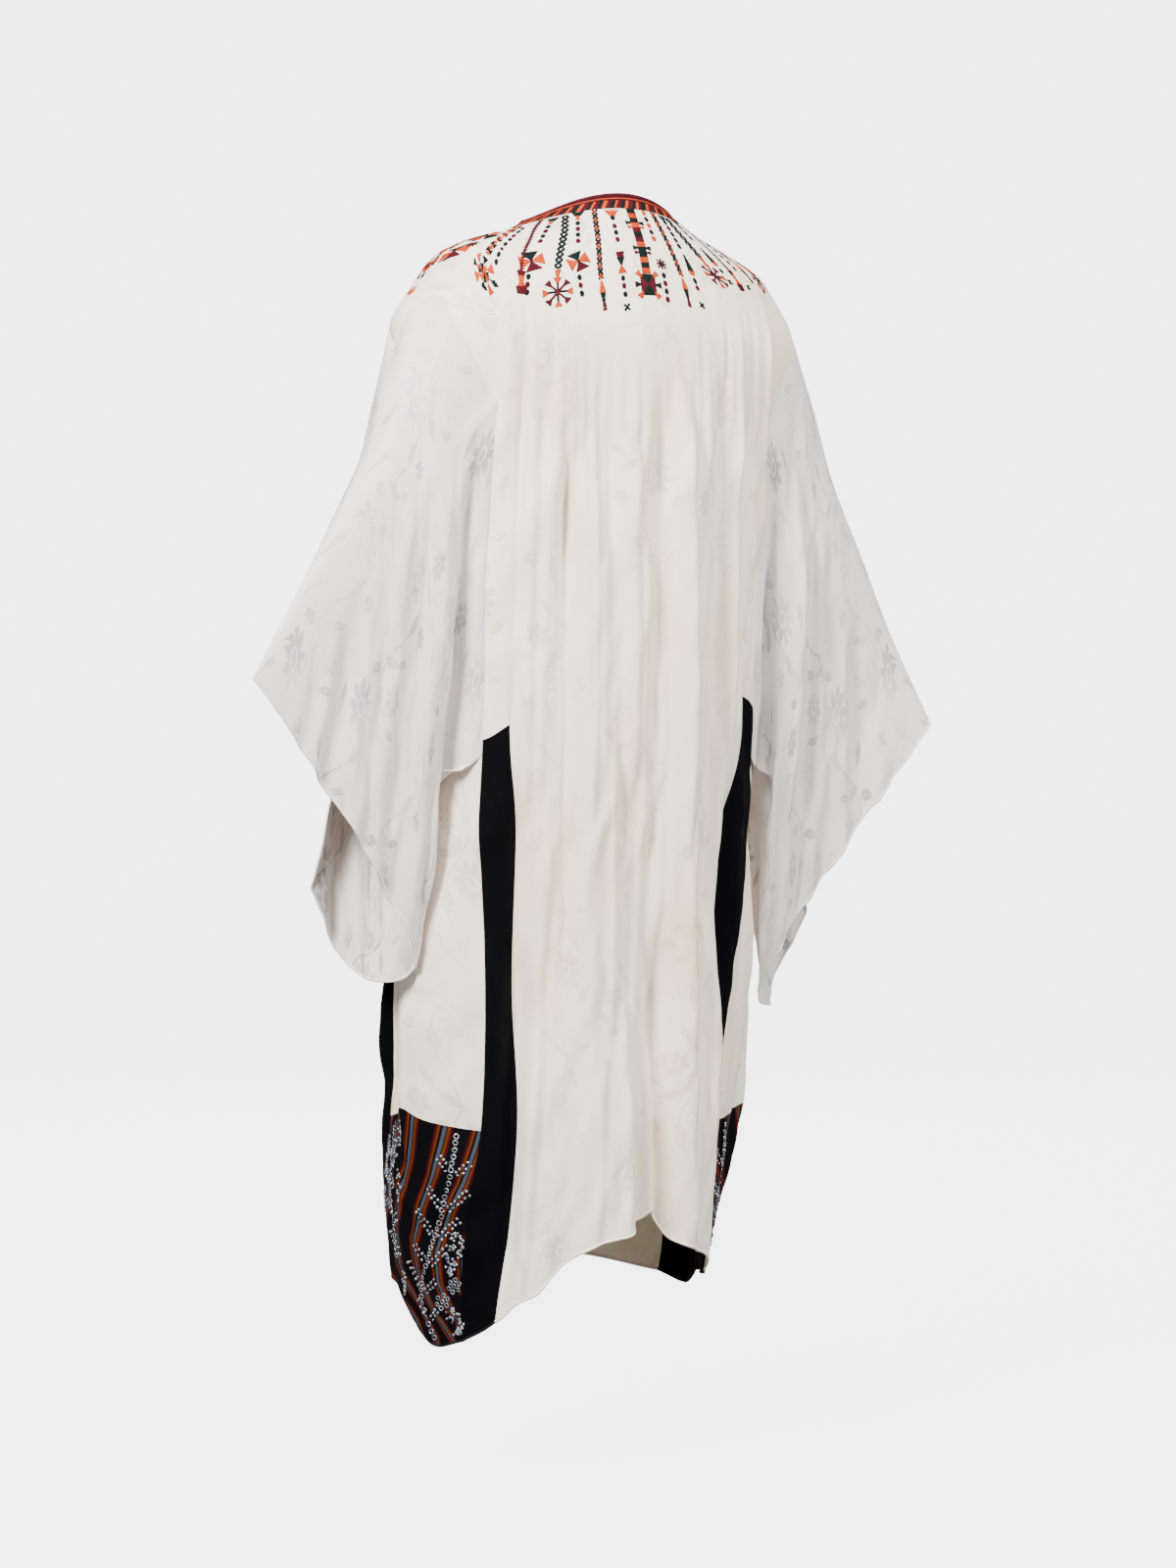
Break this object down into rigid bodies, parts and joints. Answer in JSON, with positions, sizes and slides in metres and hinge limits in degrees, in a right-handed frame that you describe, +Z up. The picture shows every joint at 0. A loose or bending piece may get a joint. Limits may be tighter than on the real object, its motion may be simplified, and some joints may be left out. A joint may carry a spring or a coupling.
{
  "type": "kaftan dress",
  "caption": "Wide hollow kaftan dress with a rounded neck, sewn-in yoke, hanging wing sleeves, contrast side strips and a hem that dips at the sides.",
  "frame": {"origin": "middle of the neck opening, level with the shoulders that carry the dress", "axes": "+Z up along the hang of the cloth, -Y to the front of the dress, +X to the wearer's left"},
  "size_m": [0.8744, 0.3797, 1.2787],
  "materials": {
    "ivory_jacquard": "silk jacquard with a soft sheen",
    "cool_jacquard": "silk jacquard with woven flowers",
    "black_crepe": "plain matt crepe",
    "striped_cloth": "black cloth with woven stripes and sewn sequins",
    "neck_trim": "silk thread embroidery over a rolled edge"
  },
  "bodies": {
    "root": {"neck_band": "neck_trim", "yoke_back": "ivory_jacquard", "yoke_front": "ivory_jacquard", "back_panel": "ivory_jacquard", "front_panel": "ivory_jacquard", "strip_back_left": "black_crepe", "strip_back_right": "black_crepe", "strip_front_left": "black_crepe", "strip_front_right": "black_crepe", "side_panel_left": "ivory_jacquard", "side_panel_right": "ivory_jacquard", "hem_panel_left": "striped_cloth", "hem_panel_right": "striped_cloth", "sleeve_left": "cool_jacquard", "sleeve_right": "cool_jacquard"}
  },
  "joints": []
}
